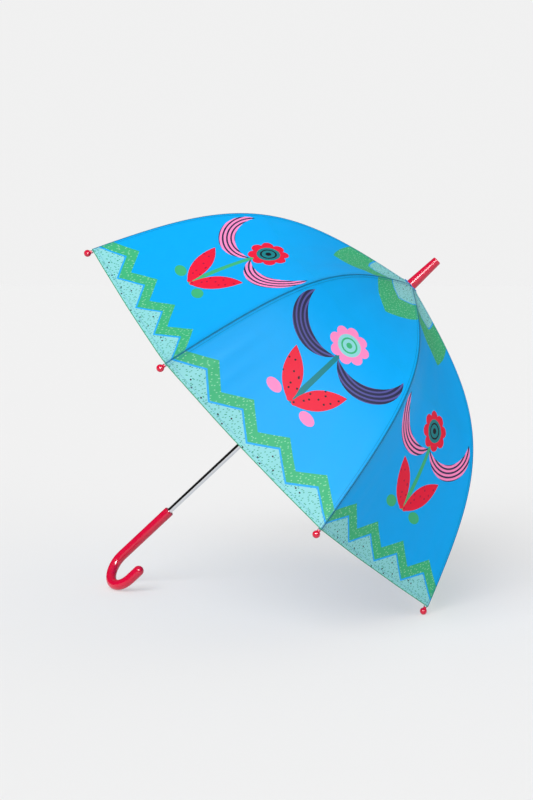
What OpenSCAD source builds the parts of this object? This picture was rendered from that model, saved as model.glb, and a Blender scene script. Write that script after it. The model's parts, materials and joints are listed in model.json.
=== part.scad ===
// Children's umbrella with a domed eight-panel canopy, lying open on the floor.
//
// Every sub-part is drawn in the umbrella's own frame: the shaft runs along Z,
// z = 0 is the level of the rib pivots in the top notch, and the ferrule is at +Z.
// laid() then sets the whole umbrella down on the rims of two rib tips and the
// crook, with the floor at z = 0 and the origin at the middle of its footprint.

/* [Canopy] */
// Length of the fabric along a rib, from the shaft's axis to the hem
rib_length = 480; // [470:2:490]
// Slope of the fabric below level at the top of the dome
slope_top = 11; // [9:1:13]
// Slope of the fabric below level at the hem
slope_hem = 66; // [64:1:68]
// Distance along the rib at which the dome bends most sharply
bend_at = 245; // [240:1:250]
// Length over which that bend is spread
bend_spread = 60; // [56:1:64]
// Thickness of the fabric solids
fabric_t = 0.6; // [0.5:0.1:0.8]

/* [Ribs and stretchers] */
// Width of a rib's channel
rib_w = 3; // [2.8:0.1:3.2]
// Depth of a rib's channel
rib_d = 2.8; // [2.6:0.1:3]
// Sheet thickness of the ribs and stretchers
sheet_t = 0.7; // [0.6:0.05:0.8]
// Radius of the ball on each rib tip
ball_r = 4.75; // [4:0.25:5]
// Angle of the stretchers from the shaft when the umbrella is closed
closed_angle = 6; // [6:0.5:9]

/* [Shaft and handle] */
// Outer radius of the shaft's tube
shaft_r = 4; // [3.8:0.1:4.2]
// Wall of the shaft's tube
shaft_wall = 0.5; // [0.4:0.1:0.7]
// Radius of the grip
grip_r = 7.5; // [7:0.25:8]
// Length of the grip's straight part
grip_length = 98; // [90:1:104]
// Radius of the crook's centre line
crook_r = 30; // [28:0.5:31]
// Straight length after the crook's half circle, without its round end
crook_tail = 17; // [10:1:20]
// Direction of the crook around the shaft
crook_azimuth = -58; // [-62:1:-54]
// Length of the ferrule
ferrule_length = 50; // [44:1:54]

/* [Hidden] */
RIBS = 8;

$fn = 48;
sector = 360 / RIBS;
flat = cos(sector / 2);              // mid-panel radius over rib radius
gap = 0.3;                           // clearance between neighbouring bodies

// The dome: points along the fabric over a rib, as [radius, height]
apex_h = 7.5;                        // fabric on the axis, above the rib pivots
path_n = 120;
path_step = rib_length / path_n;
function slope(s) = slope_top + (slope_hem - slope_top) / (1 + exp((bend_at - s) / bend_spread));
dome = [for (i = 0, p = [0, apex_h]; i <= path_n;
        p = p + path_step * [cos(slope((i + 0.5) * path_step)), -sin(slope((i + 0.5) * path_step))],
        i = i + 1) p];
// A point at any place i along the path, at a depth under the fabric and square to it
function on_dome(i) = let (k = min(floor(i), path_n - 1)) dome[k] + (i - k) * (dome[k + 1] - dome[k]);
function under(i, depth) = on_dome(i) - depth * [sin(slope(i * path_step)), cos(slope(i * path_step))];

panel_first = 4;                     // place on the path where the panels start,
crease = 60;                         // where the upper row meets the lower one
rib_first = 4;                       // and where the rib's channel starts
seam_room = 1.1;                     // room for the sewn rib strip
rib_depth = fabric_t + seam_room;    // top of the rib's channel, under the fabric
rib_mid = rib_depth + rib_d / 2;
rib_end = under(path_n, rib_mid);

// The linkage: rib pivot, stretcher pivot and runner pivot make equal sides
pivot_r = 9;
joint_at = 52;
joint_drop = 8;
rib_pivot = [pivot_r, 0];
joint = under(joint_at, joint_drop);
arm = norm(joint - rib_pivot);
open_angle = atan2(joint[0] - pivot_r, -joint[1]);
runner_open = -2 * arm * cos(open_angle);
runner_closed = -2 * arm * cos(closed_angle);

// Pins, eyes and their clearances
wire_r = 0.6;
eye_bore = 0.75;
eye_r = 1.7;
eye_t = 1.4;
pin_r = 0.7;
pin_bore = 0.75;
ear_t = 0.6;
ear_gap = 0.1;

// Notch and runner
collar_r = 11.6;
collar_h = 6;
slot_w = 2.2;                        // slots for the eyes, and where they start
slot_from = 6.6;
sleeve_bore = shaft_r + 0.3;
sleeve_r = 6.6;
sleeve_length = 34;
thumb_r = 8.5;
window_w = 3;
window_top = 14;                     // below the runner's pivots
window_h = 15;

// Catch springs, on the side of the shaft away from the crook
catch_azimuth = 90;
catch_arm = 24;
catch_nose = 2.3;                    // height of the nose above the shaft
catch_t = 1.6;
catch_slot_w = 2.4;
top_catch = runner_open - window_top - 1;
bottom_catch = runner_closed - window_top - window_h + 1;

// Handle and ferrule
shaft_spare = 52;                    // bare shaft below the closed runner
grip_top = runner_closed - sleeve_length - shaft_spare;
crook_z = grip_top - grip_length;
socket_depth = 76;
ferrule_base_r = 8.1;
ferrule_tip_r = 6.2;
ferrule_round = 1.6;
shaft_top = 28;
stop_pin_r = 1;
rosette_r = 11.6;
rosette_t = 0.6;
rosette_top = apex_h + rosette_t + 0.2;
crown_r = dome[panel_first][0] * flat - gap;
cone = tan(slope_top + 1);           // fall of the cloth near the apex
cloth_hole_r = shaft_r + 0.01;       // the shaft passes through the crown and rosette

// Balls: the pin at the rib's end runs into each
tip_pin = 6;                         // length of the pin past the rib's end,
tip_root = 3;                        // and inside the rib's channel
tip_pin_r = 1.1;
neck_r = 2.2;
ball_reach = 7.5;
end_slope = slope(rib_length);
ball = rib_end + ball_reach * [cos(end_slope), -sin(end_slope)];

// How the umbrella lies: two balls and the crook touch the floor at one tilt
function crook_low(t) = -crook_r * cos(crook_azimuth) * sin(t) + crook_z * cos(t)
    - crook_r * sqrt(pow(cos(crook_azimuth) * sin(t), 2) + pow(cos(t), 2)) - grip_r;
function ball_low(t) = -ball[0] * flat * sin(t) + ball[1] * cos(t) - ball_r;
function level_tilt(low, high, n) = let (mid = (low + high) / 2)
    n == 0 ? mid
    : crook_low(mid) < ball_low(mid) ? level_tilt(mid, high, n - 1)
    : level_tilt(low, mid, n - 1);
tilt = level_tilt(30, 70, 40);
// The footprint's two ends along X
crook_left = crook_r * cos(crook_azimuth) * cos(tilt) + crook_z * sin(tilt)
    - crook_r * sqrt(pow(cos(crook_azimuth) * cos(tilt), 2) + pow(sin(tilt), 2)) - grip_r;
ball_left = -ball[0] * flat * cos(tilt) + ball[1] * sin(tilt) - ball_r;
dome_right = max([for (i = [panel_first:path_n])
    dome[i][0] * flat * cos(tilt) + dome[i][1] * sin(tilt)]);
middle = (min(crook_left, ball_left) + dome_right) / 2;

module laid() {
    translate([-middle, 0, -ball_low(tilt)]) rotate([0, tilt, 0]) children();
}

// Draws a shape given in [radius, height] as a plate, at one angle round the shaft
module plate(azimuth, thickness) {
    rotate([0, 0, azimuth]) rotate([90, 0, 0]) linear_extrude(thickness, center = true) children();
}

// A round bar across a plate, at a point given as [radius, height]
module cross_bar(p, r, length) {
    translate([p[0], 0, p[1]]) rotate([90, 0, 0]) cylinder(r = r, h = length, center = true);
}

// A strip that follows the dome between two path points and two depths
module dome_strip(first, last, depth, depth_2) {
    n = round((last - first) / 2);
    polygon(concat([for (k = [0:n]) under(first + (last - first) * k / n, depth)],
                   [for (k = [n:-1:0]) under(first + (last - first) * k / n, depth_2)]));
}

function rib_azimuth(i) = (i - 0.5) * sector;
function panel_azimuth(i) = i * sector;

// ---- Shaft, handle and ferrule ----

module shaft() {
    socket_end = grip_top - socket_depth;
    long = shaft_top - socket_end;
    color("silver") {
        difference() {
            translate([0, 0, socket_end]) cylinder(r = shaft_r, h = long);
            translate([0, 0, socket_end - 1]) cylinder(r = shaft_r - shaft_wall, h = long + 2);
            catch_slot(top_catch, 1);
            catch_slot(bottom_catch, -1);
            stop_pin();
        }
        catch_pin(top_catch, 1);
        catch_pin(bottom_catch, -1);
    }
}

// The slot in the tube that a catch's nose comes out of
module catch_slot(z, up) {
    above_rivet = 4;
    past_nose = 1;
    rotate([0, 0, catch_azimuth])
        translate([1, -catch_slot_w / 2, z - (up > 0 ? catch_arm - above_rivet : past_nose)])
            cube([shaft_r, catch_slot_w, catch_arm - above_rivet + past_nose]);
}

// The rivet across the tube that a catch turns on
module catch_pin(z, up) {
    rotate([0, 0, catch_azimuth])
        cross_bar([0, z - up * catch_arm], pin_r, 2 * shaft_r - shaft_wall);
}

module handle() {
    grip_round = 1.5;
    color("crimson") rotate([0, 0, crook_azimuth]) difference() {
        translate([0, 0, crook_z]) {
            rotate_extrude() rounded_bar(grip_r, grip_length, grip_round);
            translate([crook_r, 0, 0]) {
                rotate([90, 0, 0]) rotate([0, 0, 180]) rotate_extrude(angle = 180)
                    translate([crook_r, 0]) circle(r = grip_r);
                translate([crook_r, 0, 0])
                    rotate_extrude() rounded_bar(grip_r, crook_tail + grip_r, grip_r);
            }
        }
        translate([0, 0, grip_top - socket_depth])
            cylinder(r = shaft_r, h = socket_depth + 1);
    }
}

// Half outline of a round bar whose top edge is rounded
module rounded_bar(r, h, edge) {
    polygon(concat([[0, 0], [r, 0]],
                   [for (a = [0:10:90]) [r - edge + edge * cos(a), h - edge + edge * sin(a)]],
                   [[0, h]]));
}

module ferrule() {
    taper = ferrule_base_r - ferrule_tip_r;
    color("crimson") rotate_extrude() difference() {
        polygon(concat(
            [[0, rosette_top - shaft_r * cone], [shaft_r, rosette_top - shaft_r * cone],
             [ferrule_base_r, rosette_top - ferrule_base_r * cone]],
            [for (a = [0:15:90])
                [ferrule_base_r - taper - ferrule_round + ferrule_round * cos(a),
                 apex_h + ferrule_length - ferrule_round + ferrule_round * sin(a)]],
            [[0, apex_h + ferrule_length]]));
        square([shaft_r, shaft_top]);
    }
}

// The pin across the shaft that the open runner stops at
module stop_pin() {
    proud = 2;
    color("dimgray") translate([0, 0, runner_open + collar_h / 2 + gap + stop_pin_r])
        rotate([90, 0, catch_azimuth + 90])
            cylinder(r = stop_pin_r, h = 2 * (shaft_r + proud), center = true);
}

// ---- Top of the canopy ----

// A cone-shaped washer of cloth that follows the slope of the dome's top
module cloth_cone(r_in, r_out, thickness) {
    rotate_extrude() polygon([
        [r_in, -r_in * cone], [r_out, -r_out * cone],
        [r_out, -r_out * cone - thickness], [r_in, -r_in * cone - thickness]]);
}

module canopy_crown() {
    color("deepskyblue") translate([0, 0, apex_h]) cloth_cone(cloth_hole_r, crown_r, fabric_t);
}

module rosette() {
    points = 28;
    color("royalblue") intersection() {
        translate([0, 0, rosette_top])
            cloth_cone(cloth_hole_r, rosette_r + 1, rosette_t);
        linear_extrude(3 * apex_h) polygon([for (k = [0:2 * points - 1])
            (rosette_r - (k % 2 == 0 ? 0 : 1)) * [cos(180 * k / points), sin(180 * k / points)]]);
    }
}

// ---- Notch and runner ----

// A collar with one slot per rib, and a channel for the ring that the eyes hang on
module slotted_collar(bore_r) {
    difference() {
        translate([0, 0, -collar_h / 2]) cylinder(r = collar_r, h = collar_h);
        translate([0, 0, -collar_h]) cylinder(r = bore_r, h = 2 * collar_h);
        for (i = [1:RIBS]) rotate([0, 0, rib_azimuth(i)])
            translate([slot_from, -slot_w / 2, -collar_h]) cube([collar_r, slot_w, 2 * collar_h]);
        pivot_ring(wire_r);
    }
}

module pivot_ring(r) {
    rotate_extrude() translate([pivot_r, 0]) circle(r = r, $fn = 24);
}

module top_notch() {
    cap_t = 0.9;
    cap_r = 10.5;
    hub_r = 5.6;
    hub_top = 5.4;
    color("dimgray") {
        slotted_collar(shaft_r);
        difference() {
            union() {
                translate([0, 0, -collar_h]) cylinder(r = hub_r, h = collar_h + hub_top);
                translate([0, 0, collar_h / 2]) cylinder(r = cap_r, h = cap_t);
            }
            translate([0, 0, -2 * collar_h]) cylinder(r = shaft_r, h = 4 * collar_h);
        }
    }
}

module notch_ring() {
    color("gray") pivot_ring(wire_r);
}

module runner() {
    thumb_t = 2.5;
    color("dimgray") translate([0, 0, runner_open]) {
        slotted_collar(sleeve_bore);
        difference() {
            union() {
                translate([0, 0, -sleeve_length]) cylinder(r = sleeve_r, h = sleeve_length);
                translate([0, 0, -sleeve_length]) cylinder(r = thumb_r, h = thumb_t);
            }
            translate([0, 0, -sleeve_length - 1]) cylinder(r = sleeve_bore, h = sleeve_length + 2);
            rotate([0, 0, catch_azimuth])
                translate([0, -window_w / 2, -window_top - window_h])
                    cube([thumb_r, window_w, window_h]);
        }
    }
}

module runner_ring() {
    color("gray") translate([0, 0, runner_open]) pivot_ring(wire_r);
}

// A bent strip with an eye at its foot and a nose that stands out of the shaft
module catch_spring(z, up) {
    nose_r = shaft_r + catch_nose;
    nose_h = 4;
    foot = 0.9;                      // half width of the foot
    strip = 1.2;                     // width of the bent strip
    color("darkgray") translate([0, 0, z]) upright(up) difference() {
        union() {
            plate(catch_azimuth, catch_t) difference() {
                polygon([[-foot, -catch_arm], [foot, -catch_arm],
                         [nose_r, -nose_h], [nose_r, 0], [0.4, 0]]);
                polygon([[0.3, 5 - catch_arm], [nose_r - strip, -nose_h],
                         [nose_r - strip, -1], [1, -1]]);
            }
            rotate([0, 0, catch_azimuth]) cross_bar([0, -catch_arm], eye_r, catch_t);
        }
        rotate([0, 0, catch_azimuth]) cross_bar([0, -catch_arm], pin_bore, 2 * catch_t);
    }
}

// Keeps a shape upright, or turns it upside down in place
module upright(up) {
    if (up > 0) children();
    else mirror([0, 0, 1]) children();
}

module top_spring() { catch_spring(top_catch, 1); }
module bottom_spring() { catch_spring(bottom_catch, -1); }

// ---- Ribs and stretchers ----

// The rib's channel between two path points: a web with two flanges below it
module rib_channel(first, last, azimuth) {
    difference() {
        plate(azimuth, rib_w) dome_strip(first, last, rib_depth, rib_depth + rib_d);
        plate(azimuth, rib_w - 2 * sheet_t)
            dome_strip(first, last, rib_depth + sheet_t, rib_depth + rib_d + 1);
    }
}

crease_pivot = under(crease, rib_mid);
ear_y = eye_t / 2 + ear_gap;         // inner face of a pair of ears
pivot_pin = 2 * (ear_y + ear_t) + 0.4;

// Two ears with a bore, either side of a tongue
module ears(p, q, azimuth, half_height) {
    for (side = [-1, 1]) rotate([0, 0, azimuth])
        translate([0, side * (ear_y + ear_t / 2), 0]) rotate([90, 0, 0])
            linear_extrude(ear_t, center = true) lug(p, q, half_height);
}

// A round end at p that runs back to q as a bar
module lug(p, q, half_height) {
    along = (q - p) / norm(q - p);
    side = half_height * [-along[1], along[0]];
    translate(p) circle(r = eye_r);
    polygon([p + side, q + side, q - side, p - side]);
}

// The two links of a rib stop this many path places short of the crease
link_end = 2;
lug_half = 1.1;                      // half height of a lug inside a channel
tongue_half = 1.2;                   // and of the tongue between the ears

module rib_upper(i) {
    azimuth = rib_azimuth(i);
    root = under(rib_first + 1, rib_mid + 0.1);
    web = under(joint_at, rib_depth + sheet_t / 2);
    color("lightgray") difference() {
        union() {
            rib_channel(rib_first, crease - link_end, azimuth);
            plate(azimuth, eye_t) lug(rib_pivot, root, lug_half);
            plate(azimuth, eye_t) lug(joint, web, 1.5);
            ears(crease_pivot, under(crease - link_end - 1, rib_mid), azimuth, lug_half);
        }
        rotate([0, 0, azimuth]) {
            cross_bar(rib_pivot, eye_bore, rib_w);
            cross_bar(joint, pin_bore, rib_w);
            cross_bar(crease_pivot, pin_bore, 2 * rib_w);
        }
    }
}

module rib_lower(i) {
    azimuth = rib_azimuth(i);
    color("lightgray") {
        rib_channel(crease + link_end, path_n, azimuth);
        plate(azimuth, eye_t) lug(crease_pivot, under(crease + link_end + 1, rib_mid), tongue_half);
        rotate([0, 0, azimuth]) cross_bar(crease_pivot, pin_r, pivot_pin);
        at_rib_end(azimuth) translate([0, 0, -tip_root])
            cylinder(r = tip_pin_r, h = tip_root + tip_pin);
    }
}

module rib_tip(i) {
    color("crimson") at_rib_end(rib_azimuth(i)) difference() {
        union() {
            translate([0, 0, gap]) cylinder(r = neck_r, h = ball_reach - gap);
            translate([0, 0, ball_reach]) sphere(r = ball_r);
        }
        cylinder(r = tip_pin_r, h = tip_pin);
    }
}

// Stands a shape at a rib's end, along the rib
module at_rib_end(azimuth) {
    rotate([0, 0, azimuth]) translate([rib_end[0], 0, rib_end[1]])
        rotate([0, 90 + end_slope, 0]) children();
}

module stretcher(i) {
    azimuth = rib_azimuth(i);
    foot = [pivot_r, runner_open];
    along = (joint - foot) / arm;
    square_to = [-along[1], along[0]];
    bar_from = foot + 7 * along;
    bar_to = joint - 5 * along;
    bar_w = rib_w - 0.2;
    half = 1.2;                      // half height of the channel
    lug_in = 3;                      // how far a lug reaches into it
    color("lightgray") {
        difference() {
            union() {
                difference() {
                    plate(azimuth, bar_w) strip(bar_from, bar_to, square_to, half, -half);
                    plate(azimuth, bar_w - 2 * sheet_t)
                        strip(bar_from, bar_to, square_to, half - sheet_t, -2 * half);
                }
                plate(azimuth, eye_t) lug(foot, bar_from + lug_in * along, 1);
                ears(joint, bar_to - lug_in * along, azimuth, 1);
            }
            rotate([0, 0, azimuth]) cross_bar(foot, eye_bore, rib_w);
        }
        rotate([0, 0, azimuth]) cross_bar(joint, pin_r, pivot_pin);
    }
}

// A straight strip from p to q, between two heights square to it
module strip(p, q, square_to, above, below) {
    polygon([p + above * square_to, q + above * square_to,
             q + below * square_to, p + below * square_to]);
}

// ---- Canopy ----

// One row of one panel: straight chords from rib to rib, curved only down the dome
module canopy_piece(first, last, azimuth) {
    wedge_from = gap / 2 / sin(sector / 2);
    reach = 1.1 * rib_length;
    color("deepskyblue") intersection() {
        plate(azimuth, reach) scale_x(flat) dome_strip(first, last, 0, fabric_t);
        rotate([0, 0, azimuth]) translate([0, 0, -rib_length]) linear_extrude(2 * rib_length)
            polygon([[wedge_from, 0],
                     [reach, (reach - wedge_from) * tan(sector / 2)],
                     [reach, -(reach - wedge_from) * tan(sector / 2)]]);
    }
}

// Draws an outline narrower by a factor, for the radius at mid-panel
module scale_x(factor) {
    scale([factor, 1]) children();
}

half_gap = gap / 2 / path_step;
module canopy_upper(i) { canopy_piece(panel_first, crease - half_gap, panel_azimuth(i)); }
module canopy_lower(i) { canopy_piece(crease + half_gap, path_n, panel_azimuth(i)); }

// ---- What is drawn ----

laid() shaft();
laid() handle();
laid() ferrule();
laid() rosette();
laid() canopy_crown();
laid() top_notch();
laid() notch_ring();
laid() runner();
laid() runner_ring();
laid() stop_pin();
laid() top_spring();
laid() bottom_spring();
for (i = [1:RIBS]) {
    laid() rib_upper(i);
    laid() rib_lower(i);
    laid() rib_tip(i);
    laid() stretcher(i);
    laid() canopy_upper(i);
    laid() canopy_lower(i);
}
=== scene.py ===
"""Looks of a children's umbrella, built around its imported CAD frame.

All lengths are in metres, in the CAD model's own frame. In the canopy, s is the distance along the
cloth from the shaft's axis, u runs across a panel from -1 on one rib to 1 on the next, and depth is
measured squarely inwards from the cloth's outer face.
"""

import json
import math

import bpy
import numpy as np
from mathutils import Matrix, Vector, noise


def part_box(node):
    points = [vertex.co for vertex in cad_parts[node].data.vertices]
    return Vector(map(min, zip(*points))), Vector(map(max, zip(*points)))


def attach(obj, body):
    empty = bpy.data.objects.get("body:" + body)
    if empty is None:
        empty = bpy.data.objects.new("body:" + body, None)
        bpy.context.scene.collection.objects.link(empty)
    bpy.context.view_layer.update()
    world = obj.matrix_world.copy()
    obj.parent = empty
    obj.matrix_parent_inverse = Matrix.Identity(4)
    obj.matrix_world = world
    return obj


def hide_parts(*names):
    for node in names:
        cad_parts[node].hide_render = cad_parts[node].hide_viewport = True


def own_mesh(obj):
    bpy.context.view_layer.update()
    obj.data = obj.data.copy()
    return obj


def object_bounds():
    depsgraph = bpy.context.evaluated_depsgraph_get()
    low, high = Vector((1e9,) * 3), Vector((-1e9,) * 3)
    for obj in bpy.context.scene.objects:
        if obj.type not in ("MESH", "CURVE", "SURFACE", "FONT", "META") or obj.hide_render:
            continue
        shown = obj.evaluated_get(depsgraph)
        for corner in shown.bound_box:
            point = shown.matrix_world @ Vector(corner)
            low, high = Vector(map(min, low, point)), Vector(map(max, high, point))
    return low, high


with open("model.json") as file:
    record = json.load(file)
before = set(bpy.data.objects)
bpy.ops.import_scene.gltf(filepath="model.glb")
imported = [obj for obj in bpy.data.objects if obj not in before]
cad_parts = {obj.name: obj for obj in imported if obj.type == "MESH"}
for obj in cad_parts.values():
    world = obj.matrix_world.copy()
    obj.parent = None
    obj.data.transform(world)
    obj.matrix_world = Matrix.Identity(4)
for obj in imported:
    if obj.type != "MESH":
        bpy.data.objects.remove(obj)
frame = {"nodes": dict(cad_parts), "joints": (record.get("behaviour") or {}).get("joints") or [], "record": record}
cad_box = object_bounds()

# ---------------------------------------------------------------- sizes
RIBS = 8
HALF_SECTOR = math.pi / RIBS
COS, SIN = math.cos(HALF_SECTOR), math.sin(HALF_SECTOR)
SHAFT_R = 0.004

# The dome, as a curve over one rib
RIB_LENGTH = 0.480  # cloth along a rib, shaft axis to hem
APEX_H = 0.0075  # cloth on the axis, above the rib pivots
SLOPE_TOP, SLOPE_HEM = math.radians(11), math.radians(66)
BEND_AT, BEND_SPREAD = 0.245, 0.060  # where the slope is halfway, and how gently it changes
CREASE = 0.240  # where the upper row of panels meets the lower one, over the ribs' hinges
PATH_STEP = 0.001

# The panels
CLOTH_T = 0.0003
PANEL_FIRST = 0.0135  # where the panels start, under the rosette
TUCK, TUCK_DEPTH = 0.014, 0.00042  # the lower row runs on this far under the upper, this much lower
TUCK_RAMP = 0.0004  # over which it steps down
HEM_FOLD, HEM_T = 0.007, 0.0009  # folded hem: its width and thickness
HEM_START, HEM_MID = RIB_LENGTH - HEM_FOLD, RIB_LENGTH - HEM_FOLD / 2
SAG = 0.035  # how far a panel sags inwards between two ribs, as a share of the radius
SEAM_WIDTH, SEAM_RISE, SEAM_RAMP = 0.0038, 0.00045, 0.0012  # felled seam beside each rib

# Ripples of the stretched cloth: broad waves, and a fan of creases from the rib tips
RIPPLE_MARGIN = 0.025  # they fade over this distance from a seam
RIPPLE_START, RIPPLE_RAMP = 0.03, 0.08
WAVE_H, WAVE_SCALE = 0.0016, (9, 2.2, 7.3)  # noise along, across and from panel to panel
FAN_H, FAN_PITCH = 0.00045, 260  # pitch in radians to a metre
FAN_WANDER, FAN_SCALE = 3, 6
FAN_START, FAN_RAMP, FAN_REACH = 0.30, 0.15, 0.05

# The binding under each seam
BINDING_HALF, BINDING_EXTRA = 0.007, 0.0045  # half width at a row's ends, and what its middle adds
BINDING_LIMIT = 1.9  # in half widths of a panel: it stays within the two panels beside the rib
BINDING_FIRST, BINDING_LAST = 0.0075, RIB_LENGTH - 0.0015
BINDING_BLEND = 0.25  # share of its half width over which it passes from one panel to the next
BINDING_DEPTH, BINDING_STEP = 0.0007, 0.0004  # every second one lies a step lower near the apex
STEP_END, STEP_RAMP = 0.04, 0.02  # and the step fades over this stretch
CORNER_LENGTH, CORNER_EXTRA = 0.055, 0.006  # patch at each corner of the hem

# The crown closes the dome's top, and the pinked rosette lies on it
CROWN_FIRST, CROWN_LAST, CROWN_LIFT = SHAFT_R + 0.0003, 0.0165, 0.0004
ROSETTE_FIRST, ROSETTE_R, ROSETTE_T = SHAFT_R + 0.0001, 0.0118, 0.0004
ROSETTE_POINTS, PINKING, PINKING_FROM = 28, 0.0011, 0.8  # pinking shapes the outer fifth
ROSETTE_FALL, ROSETTE_RUFFLE = math.tan(math.radians(12)), 0.0006
ROSETTE_LIFT = 0.0013

# The ribs' channel as the CAD model has it, and the thread that ties the cloth to it
RIB_W, RIB_D, RIB_TOP = 0.0030, 0.0028, 0.0017  # RIB_TOP is its top's depth under the cloth
RIB_MID = RIB_TOP + RIB_D / 2
NECK_R = 0.0022
THREAD_R = 0.00016
TIES_UPPER, TIES_LOWER = (0.085, 0.160, 0.232), (0.320, 0.400)
LOOP_TOP, LOOP_PITCH, LOOP_TURNS = 0.0008, 0.0007, 2
WINDING_H, WINDING_TURNS, WINDING_STEPS = 0.0009, 3, 12  # with that many steps to a turn
WINDING_START = 0.0002  # the winding's distance from the hem
WINDING_ENDS, ENDS_DEPTH = 0.001, 0.0006  # its ends lie this far to each side, in the folded hem

# ---------------------------------------------------------------- colours (linear RGB)
BLUE = (0.001, 0.400, 0.860)
LINE_BLUE = (0.015, 0.400, 0.880)
PLAIN_BLUE = (0.010, 0.235, 0.720)
FLECK = (0.028, 0.330, 0.210)
GREEN = (0.052, 0.460, 0.205)
HEM_GREEN = (0.05, 0.36, 0.20)
MINT = (0.270, 0.660, 0.680)
PALE = (0.330, 0.720, 0.480)
RED = (0.800, 0.012, 0.048)
DARK_RED = (0.42, 0.01, 0.05)
PINK = (0.950, 0.270, 0.560)
NAVY = (0.030, 0.032, 0.085)
VIOLET = (0.095, 0.095, 0.330)
TEAL = (0.012, 0.230, 0.260)
THREAD = (0.200, 0.520, 0.600)
INK = (0.012, 0.012, 0.020)


def tint(colour, factor):
    return tuple(min(1, c * factor) for c in colour)


# ---------------------------------------------------------------- where the umbrella is
def joint(name):
    return next(j for j in frame["joints"] if j["name"] == name)


rib_joint = {i: "fold" if i == 1 else f"rib_{i}_turn" for i in range(1, RIBS + 1)}
rib_pivot = {i: Vector(joint(rib_joint[i])["pos_m"]) for i in rib_joint}
ferrule_mid = sum(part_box("ferrule"), Vector()) / 2
grip = next(m for m in frame["record"]["mounts"] if m["name"] == "handle_grip")
ORIGIN = sum(rib_pivot.values(), Vector()) / RIBS
UP = Vector(grip["axis"]).normalized()
if UP.dot(ferrule_mid - ORIGIN) < 0:
    UP = -UP
rib_out = {i: (rib_pivot[i] - ORIGIN).normalized() for i in rib_pivot}


def panel_out(i):
    return (rib_out[i] + rib_out[i % RIBS + 1]).normalized()


def slope(s):
    return SLOPE_TOP + (SLOPE_HEM - SLOPE_TOP) / (1 + math.exp((BEND_AT - s) / BEND_SPREAD))


dome_path = [(0.0, APEX_H)]
for k in range(round(RIB_LENGTH / PATH_STEP) + 1):
    a = slope((k + 0.5) * PATH_STEP)
    r, h = dome_path[-1]
    dome_path.append((r + PATH_STEP * math.cos(a), h - PATH_STEP * math.sin(a)))


def on_dome(s, depth=0.0):
    """(radius, height) over a rib at distance s from the axis, or at a depth under the cloth."""
    k = min(int(s / PATH_STEP), len(dome_path) - 2)
    f = s / PATH_STEP - k
    (r0, h0), (r1, h1) = dome_path[k], dome_path[k + 1]
    a = slope(s)
    return r0 + f * (r1 - r0) - depth * math.sin(a), h0 + f * (h1 - h0) - depth * math.cos(a)


def half_width(s):
    """Half the width of a panel, square to its middle line."""
    return on_dome(s)[0] * SIN


def smooth(x):
    x = min(1.0, max(0.0, x))
    return x * x * (3 - 2 * x)


def cloth_ripple(i, s, u, from_seam):
    """How far the cloth stands out in its ripples, which fade towards the seams."""
    fade = smooth(from_seam / RIPPLE_MARGIN) * smooth((s - RIPPLE_START) / RIPPLE_RAMP)
    along, across, apart = WAVE_SCALE
    wave = noise.noise(Vector((s * along, u * across, i * apart))) * WAVE_H
    wander = FAN_WANDER * noise.noise(Vector((s * FAN_SCALE, u, i)))
    fan = math.sin(from_seam * FAN_PITCH + wander) * FAN_H
    reach = smooth((s - FAN_START) / FAN_RAMP) * math.exp(-from_seam / FAN_REACH)
    return fade * (wave + fan * reach)


def panel_point(i, s, u, depth=0.0):
    """A point of panel i."""
    out, side = panel_out(i), UP.cross(panel_out(i))
    r, h = on_dome(s)
    a = slope(s)
    inward = -(out * math.sin(a) + UP * COS * math.cos(a)).normalized()
    sag = SAG * r * (1 - u * u)
    from_seam = (1 - abs(u)) * r * SIN
    rise = SEAM_RISE * smooth((SEAM_WIDTH - from_seam) / SEAM_RAMP + 0.5)
    ripple = cloth_ripple(i, s, u, from_seam)
    on_chord = ORIGIN + out * (r * COS) + side * (u * r * SIN) + UP * h
    return on_chord + inward * (sag + depth - rise - ripple)


# ---------------------------------------------------------------- mesh helpers
DELTA_S, DELTA_U = 0.002, 0.02  # steps over which a surface's slope is measured


def evenly(first, last, n):
    return [first + (last - first) * k / n for k in range(n + 1)]


def new_object(name, verts, faces, uvs=None):
    """A smooth mesh object. uvs gives one (across, along, share) per vertex, as two UV maps."""
    mesh = bpy.data.meshes.new(name)
    mesh.from_pydata([tuple(v) for v in verts], [], faces)
    mesh.shade_smooth()
    if uvs is not None:
        loops = np.zeros(len(mesh.loops), np.int32)
        mesh.loops.foreach_get("vertex_index", loops)
        table = np.array(uvs, np.float32)[loops]
        for label, columns in (("flat", (0, 1)), ("share", (2, 1))):
            layer = mesh.uv_layers.new(name=label)
            layer.data.foreach_set("uv", table[:, columns].ravel())
    mesh.validate()
    obj = bpy.data.objects.new(name, mesh)
    bpy.context.scene.collection.objects.link(obj)
    return obj


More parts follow.
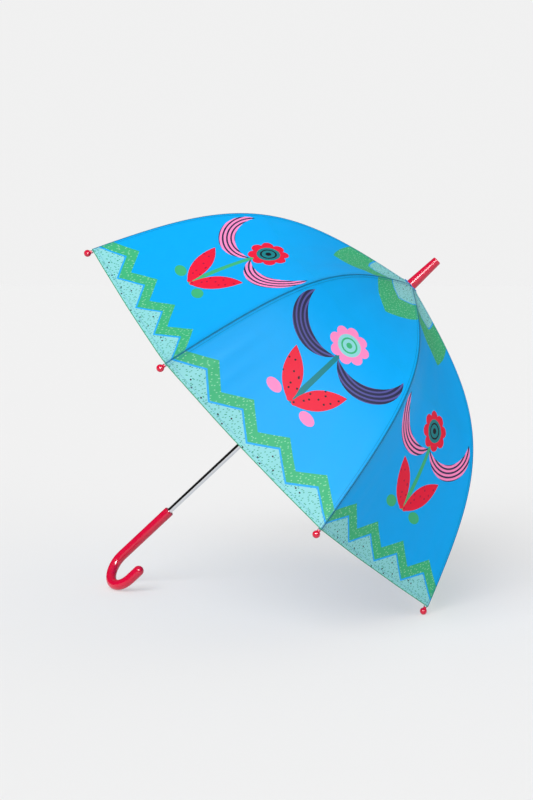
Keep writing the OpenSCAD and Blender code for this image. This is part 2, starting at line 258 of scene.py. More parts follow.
def shell(name, point, s_values, u_values, thickness, across_at=None):
    """A thin sheet: point(s, u, depth) is its outer face, and its inner one is thickness(s) deeper.

    Its normals are the smooth surface's own, so two sheets that meet show no line between them.
    across_at(s, u) is the flat distance from the panel's middle, if that isn't in proportion to u.
    """
    ns, nu = len(s_values), len(u_values)
    verts, uvs, faces, normals = [], [], [], []
    for layer in (0, 1):
        for s in s_values:
            half = half_width(s)
            for u in u_values:
                verts.append(point(s, u, layer * thickness(s)))
                flat_u = across_at(s, u) if across_at else u * half
                uvs.append((flat_u, s, flat_u / half))
                across = point(s, u + DELTA_U, 0) - point(s, u - DELTA_U, 0)
                along = point(s + DELTA_S, u, 0) - point(s - DELTA_S, u, 0)
                normal = along.cross(across).normalized()
                normals.append(-normal if layer else normal)
    second = ns * nu
    for j in range(ns - 1):
        for k in range(nu - 1):
            a, b, c, d = j * nu + k, j * nu + k + 1, (j + 1) * nu + k + 1, (j + 1) * nu + k
            faces.append((a, d, c, b))
            faces.append((second + a, second + b, second + c, second + d))
    if normals[0].dot((verts[1] - verts[0]).cross(verts[nu] - verts[0])) > 0:
        normals = [-n for n in normals]
    rim = [j * nu for j in range(ns)] + [(ns - 1) * nu + k for k in range(1, nu)]
    rim += [j * nu + nu - 1 for j in range(ns - 2, -1, -1)] + list(range(nu - 2, 0, -1))
    for a, b in zip(rim, rim[1:] + rim[:1]):
        faces.append((a, second + a, second + b, b))
    obj = new_object(name, verts, faces, uvs)
    obj.data.normals_split_custom_set_from_vertices(normals)
    return obj


def ring(name, point, radii, n, thickness):
    """A thin closed ring of cloth round the shaft: point(radius, angle, depth)."""
    verts, uvs, faces = [], [], []
    for layer in (0, 1):
        for r in radii:
            for k in range(n):
                angle = 2 * math.pi * k / n
                verts.append(point(r, angle, layer * thickness))
                u = (angle / HALF_SECTOR) % 2 - 1
                uvs.append((u * r * SIN, r, u))
    m, second = len(radii), len(radii) * n
    for j in range(m - 1):
        for k in range(n):
            a, b = j * n + k, j * n + (k + 1) % n
            c, d = b + n, a + n
            faces.append((a, d, c, b))
            faces.append((second + a, second + b, second + c, second + d))
    for k in range(n):
        a, b = k, (k + 1) % n
        faces.append((a, b, second + b, second + a))
        a, b = (m - 1) * n + k, (m - 1) * n + (k + 1) % n
        faces.append((a, second + a, second + b, b))
    return new_object(name, verts, faces, uvs)


def tubes(name, runs, radius):
    """Round tubes that follow runs of points, as one mesh."""
    curve = bpy.data.curves.new(name, "CURVE")
    curve.dimensions, curve.use_fill_caps = "3D", True
    curve.bevel_depth, curve.bevel_resolution = radius, 2
    for run in runs:
        spline = curve.splines.new("POLY")
        spline.points.add(len(run) - 1)
        for spline_point, p in zip(spline.points, run):
            spline_point.co = (*p, 1)
    holder = bpy.data.objects.new(name + "_curve", curve)
    bpy.context.scene.collection.objects.link(holder)
    bpy.context.view_layer.update()
    swept = holder.evaluated_get(bpy.context.evaluated_depsgraph_get())
    mesh = bpy.data.meshes.new_from_object(swept)
    bpy.data.objects.remove(holder)
    obj = bpy.data.objects.new(name, mesh)
    bpy.context.scene.collection.objects.link(obj)
    mesh.shade_smooth()
    return obj


# ---------------------------------------------------------------- shader maths
class Field:
    """A number at every point of a surface, as a chain of Math nodes."""

    def __init__(self, tree, socket):
        self.tree, self.socket = tree, socket

    def op(self, kind, *others):
        node = self.tree.nodes.new("ShaderNodeMath")
        node.operation = kind
        for slot, value in zip(node.inputs, (self, *others)):
            if isinstance(value, Field):
                self.tree.links.new(value.socket, slot)
            else:
                slot.default_value = value
        return Field(self.tree, node.outputs[0])

    def __add__(self, o): return self.op("ADD", o)
    def __sub__(self, o): return self.op("SUBTRACT", o)
    def __rsub__(self, o): return (self * -1) + o
    def __mul__(self, o): return self.op("MULTIPLY", o)
    def __truediv__(self, o): return self.op("DIVIDE", o)
    def abs(self): return self.op("ABSOLUTE")
    def fract(self): return self.op("FRACT")
    def sin(self): return self.op("SINE")
    def sqrt(self): return self.op("SQRT")
    def max(self, o): return self.op("MAXIMUM", o)
    def min(self, o): return self.op("MINIMUM", o)
    def over(self, o): return self.op("GREATER_THAN", o)
    def under(self, o): return self.op("LESS_THAN", o)

    def clamp(self):
        node = self.tree.nodes.new("ShaderNodeClamp")
        self.tree.links.new(self.socket, node.inputs[0])
        return Field(self.tree, node.outputs[0])


def length(x, y):
    return (x * x + y * y).sqrt()


def ellipse(x, y, middle, radii):
    """1 inside the ellipse."""
    return length((x - middle[0]) / radii[0], (y - middle[1]) / radii[1]).under(1.0)


def along_segment(x, y, p, q):
    """(share of the way from p to q, distance from that line) of each point."""
    dx, dy = q[0] - p[0], q[1] - p[1]
    share = (((x - p[0]) * dx + (y - p[1]) * dy) / (dx * dx + dy * dy)).clamp()
    return share, length((x - p[0]) - share * dx, (y - p[1]) - share * dy)


def bar(x, y, p, q, r_p, r_q):
    """1 inside a round-ended bar from p to q, whose half width goes from r_p to r_q."""
    share, away = along_segment(x, y, p, q)
    return away.under(share * (r_q - r_p) + r_p)


class Surface:
    """A node material with one Principled shader, and a few shorthands."""

    def __init__(self, name, **values):
        self.material = bpy.data.materials.new(name)
        self.material.use_nodes = True
        self.tree = self.material.node_tree
        self.shader = self.tree.nodes["Principled BSDF"]
        for key, value in values.items():
            socket = key.replace("_", " ").title().replace("Ior", "IOR")
            self.shader.inputs[socket].default_value = value

    def node(self, kind, **settings):
        n = self.tree.nodes.new(kind)
        for key, value in settings.items():
            setattr(n, key, value)
        return n

    def uv(self, label):
        split = self.node("ShaderNodeSeparateXYZ")
        uv_map = self.node("ShaderNodeUVMap", uv_map=label)
        self.tree.links.new(uv_map.outputs[0], split.inputs[0])
        return Field(self.tree, split.outputs[0]), Field(self.tree, split.outputs[1])

    def coordinates(self, x, y):
        join = self.node("ShaderNodeCombineXYZ")
        for slot, value in zip(join.inputs, (x, y)):
            self.tree.links.new(value.socket, slot)
        return join.outputs[0]

    def noise(self, scale, detail, vector=None):
        n = self.node("ShaderNodeTexNoise")
        n.inputs["Scale"].default_value, n.inputs["Detail"].default_value = scale, detail
        if vector is None:
            vector = self.node("ShaderNodeTexCoord").outputs["Object"]
        self.tree.links.new(vector, n.inputs["Vector"])
        return Field(self.tree, n.outputs[0])

    def mix(self, share, a, b):
        """Colour a where share is 0 and b where it is 1."""
        m = self.node("ShaderNodeMix", data_type="RGBA")
        self.tree.links.new(share.socket, m.inputs[0])
        for slot, value in ((m.inputs[6], a), (m.inputs[7], b)):
            if isinstance(value, tuple):
                slot.default_value = (*value, 1.0)
            else:
                self.tree.links.new(value, slot)
        return m.outputs[2]

    def to(self, socket_name, value):
        socket = value.socket if isinstance(value, Field) else value
        self.tree.links.new(socket, self.shader.inputs[socket_name])

    def bump(self, height, distance, strength):
        b = self.node("ShaderNodeBump")
        b.inputs["Distance"].default_value, b.inputs["Strength"].default_value = distance, strength
        self.tree.links.new(height.socket, b.inputs["Height"])
        self.to("Normal", b.outputs[0])

    def translucent(self, colour, amount):
        """Lets some light through the cloth."""
        mixer, thin = self.node("ShaderNodeMixShader"), self.node("ShaderNodeBsdfTranslucent")
        mixer.inputs[0].default_value = amount
        self.tree.links.new(colour, thin.inputs["Color"])
        self.tree.links.new(self.shader.outputs[0], mixer.inputs[1])
        self.tree.links.new(thin.outputs[0], mixer.inputs[2])
        output = self.tree.nodes["Material Output"]
        self.tree.links.new(mixer.outputs[0], output.inputs["Surface"])


# ---------------------------------------------------------------- the printed cloth
# Zigzag border, and the star round the apex. The wobble is the print's own unevenness.
TEETH = 4
TOOTH_VALLEY, TOOTH_H = 0.008, 0.025  # the valleys over the hem, and the peaks over the valleys
LINE_H, BAND_H = 0.0031, 0.0212  # blue line and green band above the teeth
BORDER_WOBBLE, STAR_WOBBLE = 0.012, 0.002
STAR_SEAM, STAR_MID = 0.106, 0.164  # the star's outer edge on a seam and at mid-panel
CORE_SEAM, CORE_MID = 0.062, 0.092  # and its mint middle's

# Scattered marks
DASHES = dict(pitch=0.0030, size=0.17, stretch=2.2, turn=0.5)
DOTS = dict(pitch=0.021, size=0.055, stretch=1.0, turn=0.3)
BAND_DASHES = dict(pitch=0.0036, size=0.17, stretch=1.9, turn=0.4)
BAND_DASH_STRENGTH = 0.7
SEEDS = dict(pitch=0.0125, size=0.11, stretch=1.0, turn=0.9)

# The plant. Its points are (distance from the panel's middle, height over PLANT_AT).
PLANT_AT = 0.300  # distance of the plant's zero height from the apex
STEM_TOP, STEM_FOOT, STEM_R = (0.0, 0.010), (0.0, -0.090), (0.0030, 0.0042)
LEAF_AT, LEAF_R = (0.0357, 0.0309), 0.0471  # the arc that a curved leaf follows
LEAF_FROM, LEAF_TO = -2.37, 0.28  # where on it the leaf starts and ends, in radians
LEAF_SWELL = 0.0066
STRIPE_PITCH, STRIPE_SHARE, STRIPE_START = 0.0058, 0.42, 0.013
TULIP_BASE, TULIP_TOP = (0.004, -0.090), (0.046, -0.034)
TULIP_SWELL, TULIP_BASE_R = 0.046, 0.004
BUD_AT, BUD_R = (0.0290, -0.093), (0.0115, 0.0075)
FLOWER_AT, FLOWER_R = (0.0, 0.026), 0.0165
PETALS, PETAL_OUT, PETAL_R = 8, 0.0200, 0.0085
EYE_RING_R, EYE_RING_HALF, EYE_R = 0.0105, 0.0012, 0.0042

# Stitching and weave
STITCH_PITCH, STITCH_GAP = 0.0026, 0.35
SEAM_STITCH_AT, SEAM_STITCH_HALF = 0.0016, 0.00028
HEM_STITCH_AT, HEM_STITCH_HALF = HEM_FOLD * 0.8, 0.0003
SEAM_CREASE_SHADE_HALF, SEAM_EDGE_HALF = 0.0011, 0.00035  # painted shade along a seam's own line, and at its felled cloth's edge
HEM_EDGE = 0.0010
WEAVE = 5200  # radians to a metre
PUCKER_REACH, PUCKER_STRETCH = 0.010, 0.6
TRANSLUCENCE = 0.22

PALETTES = {
    "a": dict(stem=GREEN, tulip=RED, seed=DARK_RED, bud=GREEN, leaf=PINK, leaf_stripe=NAVY,
              petal=RED, flower=TEAL, eye=INK),
    "b": dict(stem=TEAL, tulip=RED, seed=INK, bud=PINK, leaf=NAVY, leaf_stripe=VIOLET,
              petal=PINK, flower=MINT, eye=GREEN),
}


def cell_marks(surface, x, y, pitch, size, stretch, turn):
    """Small marks scattered one to a cell: dashes if stretch is over 1."""
    voronoi = surface.node("ShaderNodeTexVoronoi", voronoi_dimensions="2D")
    voronoi.inputs["Scale"].default_value = 1.0
    c, s = math.cos(turn), math.sin(turn)
    xr, yr = (x * c + y * s) / pitch, (y * c - x * s) / (pitch * stretch)
    surface.tree.links.new(surface.coordinates(xr, yr), voronoi.inputs["Vector"])
    return Field(surface.tree, voronoi.outputs["Distance"]).under(size)


def curved_leaf(ax, h):
    """1 inside a pointed band that leaves the stem, dips and rises, and 1 on its stripes."""
    dx, dh = ax - LEAF_AT[0], h - LEAF_AT[1]
    away = length(dx, dh)
    turn = dh.op("ARCTAN2", dx)
    width = ((turn - LEAF_FROM) * (LEAF_TO - turn)).max(0.0) * LEAF_SWELL
    leaf = (away - LEAF_R).abs().under(width)
    stripes = ((away - LEAF_R + STRIPE_START) / STRIPE_PITCH).fract().under(STRIPE_SHARE)
    return leaf, leaf * stripes


def tulip_leaf(ax, h):
    """1 inside a long leaf that swells from the foot of the stem and ends in a point."""
    share, away = along_segment(ax, h, TULIP_BASE, TULIP_TOP)
    return away.under((1 - share) * (share * TULIP_SWELL + TULIP_BASE_R))


def petal_ring(x, h):
    """1 on the round petals behind the flower."""
    petals = None
    for k in range(PETALS):
        a = 2 * math.pi * (k + 0.5) / PETALS
        middle = (PETAL_OUT * math.cos(a), FLOWER_AT[1] + PETAL_OUT * math.sin(a))
        one = ellipse(x, h, middle, (PETAL_R, PETAL_R))
        petals = one if petals is None else petals.max(one)
    return petals


def flower_eye(x, h):
    away = length(x, h - FLOWER_AT[1])
    return (away - EYE_RING_R).abs().under(EYE_RING_HALF).max(away.under(EYE_R))


def add_plant(f, colour, x, y, palette):
    """Prints a stem, two curved leaves with stripes, two tulip leaves, two buds and a flower."""
    h = PLANT_AT - y
    ax = x.abs()
    leaf, stripes = curved_leaf(ax, h)
    tulip = tulip_leaf(ax, h)
    for inside, ink in (
        (bar(ax, h, STEM_TOP, STEM_FOOT, *STEM_R), "stem"),
        (leaf, "leaf"),
        (stripes, "leaf_stripe"),
        (tulip, "tulip"),
        (tulip * cell_marks(f, x, y, **SEEDS), "seed"),
        (ellipse(ax, h, BUD_AT, BUD_R), "bud"),
        (petal_ring(x, h), "petal"),
        (ellipse(x, h, FLOWER_AT, (FLOWER_R, FLOWER_R)), "flower"),
        (flower_eye(x, h), "eye"),
    ):
        colour = f.mix(inside, colour, palette[ink])
    return colour


def printed_cloth(name, palette):
    """Satin cloth with a zigzag border, a star round the apex and a plant on each panel."""
    f = Surface(name, roughness=0.40, specular_ior_level=0.10)
    x, y = f.uv("flat")
    share, _ = f.uv("share")
    grain = f.noise(60, 3, f.coordinates(x, y))
    colour = f.mix(grain, tint(BLUE, 0.97), tint(BLUE, 1.03))
    flecked = f.mix(cell_marks(f, x, y, **DASHES), MINT, FLECK)
    mint = f.mix(cell_marks(f, x, y, **DOTS), flecked, INK)
    green = f.mix(cell_marks(f, x, y, **BAND_DASHES) * BAND_DASH_STRENGTH, GREEN, PALE)

    # Zigzag border: teeth that stand on the hem
    up = RIB_LENGTH - y
    phase = share * (TEETH / 2) + 0.5 + grain * BORDER_WOBBLE
    above = up - (phase.fract() - 0.5).abs() * 2 * TOOTH_H - TOOTH_VALLEY
    colour = f.mix(above.under(BAND_H), colour, green)
    colour = f.mix(above.under(LINE_H), colour, LINE_BLUE)
    colour = f.mix(above.under(0.0), colour, mint)

    # Star round the apex
    star = share.abs() * (STAR_SEAM - STAR_MID) + grain * STAR_WOBBLE + STAR_MID
    core = share.abs() * (CORE_SEAM - CORE_MID) + grain * STAR_WOBBLE + CORE_MID
    colour = f.mix((star - y).over(0.0), colour, green)
    colour = f.mix((core - y).over(-LINE_H), colour, LINE_BLUE)
    colour = f.mix((core - y).over(0.0), colour, mint)

    colour = add_plant(f, colour, x, y, palette)

    # Seam and hem: painted shade along each seam and at its felled cloth's edge, and dark stitches. Each row is a
    # mask, its strength and how dark it is.
    panel_half = x.abs() / share.abs().max(0.001)  # the limit is for the panel's middle line
    from_seam = (1 - share.abs()) * panel_half
    # painted shade in the crease where two panels meet over the rib
    seam_crease_shade = from_seam.under(SEAM_CREASE_SHADE_HALF)
    # painted shade on the step at the felled cloth's edge; the bump below dents the same line
    seam_edge = (from_seam - SEAM_WIDTH).abs().under(SEAM_EDGE_HALF)
    seam_row = (from_seam - SEAM_STITCH_AT).abs().under(SEAM_STITCH_HALF)
    hem_row = (up - HEM_STITCH_AT).abs().under(HEM_STITCH_HALF)
    stitches = (seam_row * (y / STITCH_PITCH).fract().over(STITCH_GAP)
                + hem_row * (x / STITCH_PITCH).fract().over(STITCH_GAP))
    for mask, strength, dark in ((seam_edge, 0.55, 0.45), (seam_crease_shade, 0.8, 0.35),
                                 (stitches.clamp(), 0.6, 0.55)):
        colour = f.mix(mask * strength, colour, tint(BLUE, dark))
    colour = f.mix(up.under(HEM_EDGE), colour, HEM_GREEN)
    f.to("Base Color", colour)

    # Weave, and the puckers and dimples of the stitching
    weave = ((x * WEAVE).sin() * 0.5 + 0.5) * ((y * WEAVE).sin() * 0.5 + 0.5)
    near_seam = ((PUCKER_REACH - from_seam) / PUCKER_REACH).clamp()
    pucker = f.noise(420, 2, f.coordinates(x * PUCKER_STRETCH, y)) * near_seam
    dimples = (stitches + seam_edge).clamp()
    f.bump(weave * 0.10 - dimples * 0.8 + pucker * 1.6, distance=0.00035, strength=0.55)
    f.to("Roughness", grain * 0.10 + 0.34)
    f.translucent(colour, TRANSLUCENCE)
    return f.material


# ---------------------------------------------------------------- the other materials
def plain_cloth(name, colour):
    """Woven polyester of one dye."""
    f = Surface(name, roughness=0.5, sheen_weight=0.05, specular_ior_level=0.3)
    x, y = f.uv("flat")
    shade = f.noise(500, 3)
    weave = (x * (WEAVE / 2)).sin() * (y * (WEAVE / 2)).sin()
    f.to("Base Color", f.mix(shade, tint(colour, 0.72), tint(colour, 1.1)))
    f.to("Roughness", shade * 0.2 + 0.4)
    f.bump(weave + shade * 2, distance=0.0001, strength=0.5)
    return f.material


def twisted_thread(name, colour):
    """Twisted polyester thread."""
    f = Surface(name, roughness=0.55, sheen_weight=0.2, specular_ior_level=0.3)
    fibres = f.noise(5200, 2)
    f.to("Base Color", f.mix(fibres, tint(colour, 0.6), colour))
    f.bump(fibres, distance=0.0001, strength=0.6)
    return f.material


def plastic(name, colour, roughness, coat=0.0):
    """Moulded plastic, with faint patches of colour, uneven gloss and a fine orange peel."""
    f = Surface(name, roughness=roughness, coat_weight=coat, coat_roughness=0.06,
                specular_ior_level=0.5)
    patches, dulled, peel = f.noise(35, 3), f.noise(180, 4), f.noise(900, 2)
    f.to("Base Color", f.mix(patches, tint(colour, 0.94), tint(colour, 1.05)))
    f.to("Roughness", dulled * 0.10 + (roughness - 0.04))
    f.bump(peel, distance=0.00004, strength=0.3)
    return f.material


def metal(name, colour, roughness, scratches=0.5):
    """Plated steel, with patches of colour and fine scratches."""
    f = Surface(name, metallic=1.0, roughness=roughness)
    patches, marks = f.noise(50, 3), f.noise(700, 3)
    f.to("Base Color", f.mix(patches, tint(colour, 0.93), colour))
    f.to("Roughness", marks * 0.12 * scratches + roughness)
    f.bump(marks, distance=0.00002, strength=0.2 * scratches)
    return f.material


cloth = {key: printed_cloth("cloth_" + key, PALETTES[key]) for key in PALETTES}
plain_blue = plain_cloth("cloth_blue", PLAIN_BLUE)
thread_finish = twisted_thread("thread", THREAD)

# The finish of each of the record's material slots. The CAD model's cloth is all replaced below.
finishes = {
    "canopy_fabric": plain_blue,
    "rosette_fabric": plain_blue,
    "red_plastic": plastic("red_plastic", (0.58, 0.001, 0.034), 0.16, coat=0.3),
    "black_plastic": plastic("black_plastic", (0.016, 0.016, 0.018), 0.38),
    "shaft_chrome": metal("shaft_chrome", (0.80, 0.81, 0.83), 0.05, scratches=0.3),
    "rib_steel": metal("rib_steel", (0.60, 0.61, 0.62), 0.26),
    "wire_steel": metal("wire_steel", (0.55, 0.55, 0.56), 0.30),
    "spring_steel": metal("spring_steel", (0.46, 0.45, 0.44), 0.32),
}
slot_of = {part["node"]: part["material_slot"] for part in frame["record"]["subparts"]}
SHARP_EDGE = math.radians(32)

for name, obj in frame["nodes"].items():
    obj.data.materials.clear()
    obj.data.materials.append(finishes[slot_of[name]])
    obj.data.shade_smooth()
    obj.data.set_sharp_from_angle(angle=SHARP_EDGE)


# ---------------------------------------------------------------- canopy panels
PANEL_ROWS, PANEL_COLUMNS = 46, 30
EDGE_FROM, EDGE_COLUMNS = 0.9, [0.92, 0.94, 0.955, 0.97, 0.985, 1.0]  # closer beside the seams
ROW_GAP, CREASE_GAP, HEM_RAMP = 0.001, 0.0015, 0.0002
AREA_STEPS = 200


def thickness(s):
    return HEM_T if s > HEM_START else CLOTH_T


def flat_area(first, last):
    step = (last - first) / AREA_STEPS
    return sum(2 * half_width(first + (k + 0.5) * step) for k in range(AREA_STEPS)) * step


def panel_columns():
    inner = evenly(-EDGE_FROM, EDGE_FROM, PANEL_COLUMNS)
    return [-u for u in reversed(EDGE_COLUMNS)] + inner + EDGE_COLUMNS


def panel_rows(first, last):
    """Even rows, and in the lower panels closer ones at the tuck and at the folded hem."""
    rows = evenly(first, last, PANEL_ROWS)
    if last > HEM_START:
        rows = [s for s in rows if s < HEM_START - ROW_GAP and abs(s - CREASE) > CREASE_GAP]
        rows = sorted(rows + [CREASE - TUCK_RAMP, CREASE])
        rows += [HEM_START - HEM_RAMP, HEM_START + HEM_RAMP, HEM_MID, RIB_LENGTH]
    return rows


def panel_cloth(i, row):
    """The panel's surface. The lower row's first strip is tucked under the upper row."""
    def point(s, u, depth):
        tucked = TUCK_DEPTH * smooth((CREASE - s) / TUCK_RAMP) if row == "lower" else 0
        return panel_point(i, s, u, depth + tucked)
    return point


def print_of(i):
    """The two prints take turns round the canopy."""
    return cloth["b" if i % 2 == 0 else "a"]


for i in range(1, RIBS + 1):
    for row, first, last in (("upper", PANEL_FIRST, CREASE), ("lower", CREASE - TUCK, RIB_LENGTH)):
        piece = shell(f"panel_{row}_{i}", panel_cloth(i, row), panel_rows(first, last),
                      panel_columns(), thickness)
        piece.data.materials.append(print_of(i))
        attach(piece, f"panel_{i}_{row}")
        panel_point(i, CREASE, 0)
        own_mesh(piece)
        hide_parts(f"canopy_{row}_{i}")
        2 * half_width(last)
        flat_area(first, last)


# ---------------------------------------------------------------- bindings under the seams
BINDING_ROWS, BINDING_COLUMNS = 44, 16


def binding_half(s):
    """Half the width: widest halfway along each row, and again in the corner patch at the hem."""
    row_share = s / CREASE if s < CREASE else (s - CREASE) / (RIB_LENGTH - CREASE)
    corner = smooth((s - RIB_LENGTH + CORNER_LENGTH) / CORNER_LENGTH)
    wanted = BINDING_HALF + BINDING_EXTRA * math.sin(math.pi * row_share) + CORNER_EXTRA * corner
    return min(wanted, BINDING_LIMIT * half_width(s))


def binding_point(i, s, v, depth):
    """A point of the binding under the seam over rib i: v is -1 on one edge and 1 on the other."""
    before, after = (i - 2) % RIBS + 1, i
    e = abs(v) * binding_half(s) / half_width(s)
    depth += BINDING_DEPTH + BINDING_STEP * (i % 2) * smooth((STEP_END - s) / STEP_RAMP)
    share = smooth(v / BINDING_BLEND + 0.5)
    return (panel_point(before, s, 1 - e, depth) * (1 - share)
            + panel_point(after, s, e - 1, depth) * share)


for i in range(1, RIBS + 1):
    for row, first, last in (("upper", BINDING_FIRST, CREASE), ("lower", CREASE, BINDING_LAST)):
        rows = evenly(first, last, BINDING_ROWS)
        piece = shell(f"binding_{row}_{i}", lambda s, v, depth: binding_point(i, s, v, depth),
                      rows, evenly(-1, 1, BINDING_COLUMNS), lambda s: CLOTH_T,
                      lambda s, v: half_width(s) - abs(v) * binding_half(s))
        piece.data.materials.append(print_of(i))
        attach(piece, f"rib_{i}_{row}")
        widths = [2 * binding_half(s) for s in rows]
        sum(widths) / len(widths) * (last - first)


# ---------------------------------------------------------------- crown and rosette
CROWN_ROWS, CROWN_COLUMNS = 12, 12 * RIBS
ROSETTE_ROWS, ROSETTE_COLUMNS = 14, 8 * ROSETTE_POINTS


def crown_point(s, angle, depth):
    """Follows the panels just above them. The angle is counted from rib 1."""
    i = int(angle / (2 * HALF_SECTOR)) % RIBS + 1
    return panel_point(i, s, (angle / HALF_SECTOR) % 2 - 1, depth - CROWN_LIFT)


def rosette_point(r, angle, depth):
    """A ruffled disc with a pinked edge."""
    out = rib_out[1] * math.cos(angle) + UP.cross(rib_out[1]) * math.sin(angle)
    share = (r - SHAFT_R) / (ROSETTE_R - SHAFT_R)
    notch = abs((angle * ROSETTE_POINTS / math.pi) % 2 - 1)
    pinked = r - PINKING * smooth((share - PINKING_FROM) / (1 - PINKING_FROM)) * notch
    waves = math.sin(5 * angle) + 0.6 * math.sin(9 * angle + 1)
    ruffle = ROSETTE_RUFFLE * share * share * waves
    return ORIGIN + out * pinked + UP * (APEX_H + ROSETTE_LIFT - r * ROSETTE_FALL + ruffle - depth)


crown = ring("crown", crown_point, evenly(CROWN_FIRST, CROWN_LAST, CROWN_ROWS),
             CROWN_COLUMNS, CLOTH_T)
rosette = ring("rosette_cloth", rosette_point, evenly(ROSETTE_FIRST, ROSETTE_R, ROSETTE_ROWS),
               ROSETTE_COLUMNS, ROSETTE_T)
for piece, node, r_out, finish, slot_name in (
    (crown, "canopy_crown", CROWN_LAST, cloth["a"], "canopy_fabric"),
    (rosette, "rosette", ROSETTE_R, plain_blue, "rosette_fabric"),
):
    piece.data.materials.append(finish)
    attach(piece, "frame")
    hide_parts(node)


# ---------------------------------------------------------------- ties
def at_rib(i, s, depth, across=0.0):
    r, h = on_dome(s, depth)
    return ORIGIN + rib_out[i] * r + UP * h + UP.cross(rib_out[i]) * across


def thread_loop(i, s):
    """Turns of thread round the rib's channel, up through the binding."""
    w, low = RIB_W / 2 + THREAD_R, RIB_TOP + RIB_D + THREAD_R
    corners = ((-w, LOOP_TOP), (-w, low), (w, low), (w, LOOP_TOP))
    return [at_rib(i, s + turn * LOOP_PITCH, depth, across)
            for turn in range(LOOP_TURNS) for across, depth in corners]


def neck_winding(i):
    """Thread wound round the foot of the tip's neck, with both ends in the cloth's corner."""
    hem = at_rib(i, RIB_LENGTH, RIB_MID)
    along = (hem - at_rib(i, RIB_LENGTH - DELTA_S, RIB_MID)).normalized()
    side = UP.cross(rib_out[i])
    up = side.cross(along) if side.cross(along).dot(UP) > 0 else along.cross(side)
    foot = hem + along * WINDING_START
    steps = WINDING_TURNS * WINDING_STEPS
    turns = []
    for k in range(steps + 1):
        a = 2 * math.pi * k / WINDING_STEPS
        around = (up * math.cos(a) + side * math.sin(a)) * (NECK_R + THREAD_R)
        turns.append(foot + along * (WINDING_H * k / steps) + around)
    corner = at_rib(i, HEM_MID, ENDS_DEPTH)
    return [corner - side * WINDING_ENDS] + turns + [corner + side * WINDING_ENDS]


def ties(name, runs, body):
    piece = tubes(name, runs, THREAD_R)
    piece.data.materials.clear()
    piece.data.materials.append(thread_finish)
    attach(piece, body)


for i in range(1, RIBS + 1):
    ties(f"ties_upper_{i}", [thread_loop(i, s) for s in TIES_UPPER], f"rib_{i}_upper")
    ties(f"ties_lower_{i}", [thread_loop(i, s) for s in TIES_LOWER] + [neck_winding(i)],
         f"rib_{i}_lower")

# ---------------------------------------------------------------- room and light
SKY = 0.876  # the backdrop as the camera sees it
AMBIENT = 0.56  # the room's mean light on the floor
UNLIT = 0.015  # the dark studio that gloss shows, with a dimmed backdrop and a faint ceiling in it
BACKDROP_FROM, BACKDROP_RAMP, BACKDROP_GLOSS = 0.5, 0.4, SKY * 0.22
CEILING_FROM, CEILING_RAMP, CEILING_GLOSS = 0.62, 0.3, 0.12
KEY = dict(azimuth=-26, elevation=40, strength=2.9, spread=50)
FILL = dict(azimuth=55, elevation=6, strength=0.95, spread=50)
FLOOR_GLOW = 0.44  # the lit paper under the object, which keeps its shadow light
FLOOR_SIZE = 60

# The room is brightest behind the umbrella and darker on the camera's side
world = bpy.data.worlds.new("studio")
bpy.context.scene.world = world
world.use_nodes = True
tree = world.node_tree
split, path = tree.nodes.new("ShaderNodeSeparateXYZ"), tree.nodes.new("ShaderNodeLightPath")
tree.links.new(tree.nodes.new("ShaderNodeTexCoord").outputs["Generated"], split.inputs[0])
behind, above = Field(tree, split.outputs["Y"]), Field(tree, split.outputs["Z"])
seen, glossy = (Field(tree, path.outputs[ray]) for ray in ("Is Camera Ray", "Is Glossy Ray"))
backdrop = ((behind - BACKDROP_FROM) / BACKDROP_RAMP).clamp() * BACKDROP_GLOSS
ceiling = ((above - CEILING_FROM) / CEILING_RAMP).clamp() * CEILING_GLOSS
room = behind * (SKY - AMBIENT) + AMBIENT
room = room + glossy * ((backdrop + ceiling + UNLIT).min(SKY) - room)
room = room + seen * (SKY - room)
background = tree.nodes["Background"]
background.inputs["Color"].default_value = (1, 1, 1, 1)
tree.links.new(room.socket, background.inputs["Strength"])


def direction(azimuth, elevation):
    """Towards that azimuth (0 is the camera's side) and elevation, in degrees."""
    a, e = math.radians(azimuth), math.radians(elevation)
    return Vector((math.sin(a) * math.cos(e), -math.cos(a) * math.cos(e), math.sin(e)))


def new_light(name, kind, towards):
    """A light that shines from that direction."""
    light = bpy.data.lights.new(name, kind)
    obj = bpy.data.objects.new(name, light)
    bpy.context.scene.collection.objects.link(obj)
    obj.rotation_mode = "QUATERNION"
    obj.rotation_quaternion = towards.to_track_quat("Z", "Y")
    return obj, light


def sun(name, azimuth, elevation, strength, spread):
    """A soft sun, which doesn't show in gloss. Returns its light on the floor."""
    obj, light = new_light(name, "SUN", direction(azimuth, elevation))
    light.energy, light.angle = strength, math.radians(spread)
    obj.visible_glossy = False
    return strength * math.sin(math.radians(elevation)) / math.pi


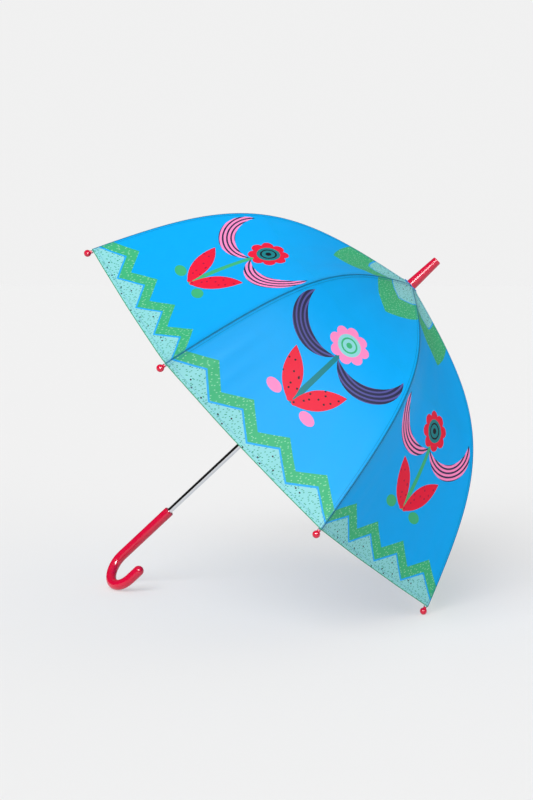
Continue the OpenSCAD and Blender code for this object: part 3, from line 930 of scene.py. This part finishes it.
def softbox(name, target, towards, distance, size, radiance):
    """An oblong lamp, which shows only as a highlight in gloss."""
    obj, light = new_light(name, "AREA", towards)
    obj.location = target + distance * towards
    light.shape, light.size, light.size_y = "RECTANGLE", *size
    light.energy = radiance * math.pi * size[0] * size[1]
    obj.visible_diffuse = obj.visible_camera = obj.visible_transmission = False


centre = (cad_box[0] + cad_box[1]) / 2
softbox("window", centre, direction(-14, 32), 2.0, size=(0.24, 0.24), radiance=22)
softbox("panel_light", centre, direction(32, 27), 2.0, size=(1.0, 0.9), radiance=9.0)
softbox("ferrule_light", ferrule_mid, direction(-16, 5.5), 0.9, size=(0.40, 0.40), radiance=24)
on_floor = AMBIENT + sun("key", **KEY) + sun("fill", **FILL)

corners = [(x * FLOOR_SIZE, y * FLOOR_SIZE, 0) for x, y in ((-1, -1), (1, -1), (1, 1), (-1, 1))]
floor = new_object("floor", corners, [(0, 1, 2, 3)])
floor_grey = (SKY - FLOOR_GLOW) / on_floor
paint = Surface("floor_paint", roughness=1.0, specular_ior_level=0.0,
                base_color=(floor_grey, floor_grey, floor_grey, 1),
                emission_color=(1, 1, 1, 1), emission_strength=FLOOR_GLOW)
floor.data.materials.append(paint.material)

# ---------------------------------------------------------------- camera
CAMERA_AZIMUTH, CAMERA_ELEVATION, CAMERA_DISTANCE = 5.66, 5.4, 1.902  # degrees and metres
CAMERA_LENS, SENSOR_WIDTH = 89.0, 36
LOOK_AT = centre + Vector((-0.028, 0, 0.006))

camera = bpy.data.objects.new("camera", bpy.data.cameras.new("camera"))
bpy.context.scene.collection.objects.link(camera)
back = direction(CAMERA_AZIMUTH, CAMERA_ELEVATION)
camera.location = LOOK_AT + CAMERA_DISTANCE * back
camera.rotation_mode = "QUATERNION"
camera.rotation_quaternion = (-back).to_track_quat("-Z", "Y")
camera.data.sensor_fit, camera.data.sensor_width = "HORIZONTAL", SENSOR_WIDTH
camera.data.lens = CAMERA_LENS
bpy.context.scene.camera = camera
bpy.context.scene.view_settings.view_transform = "Standard"
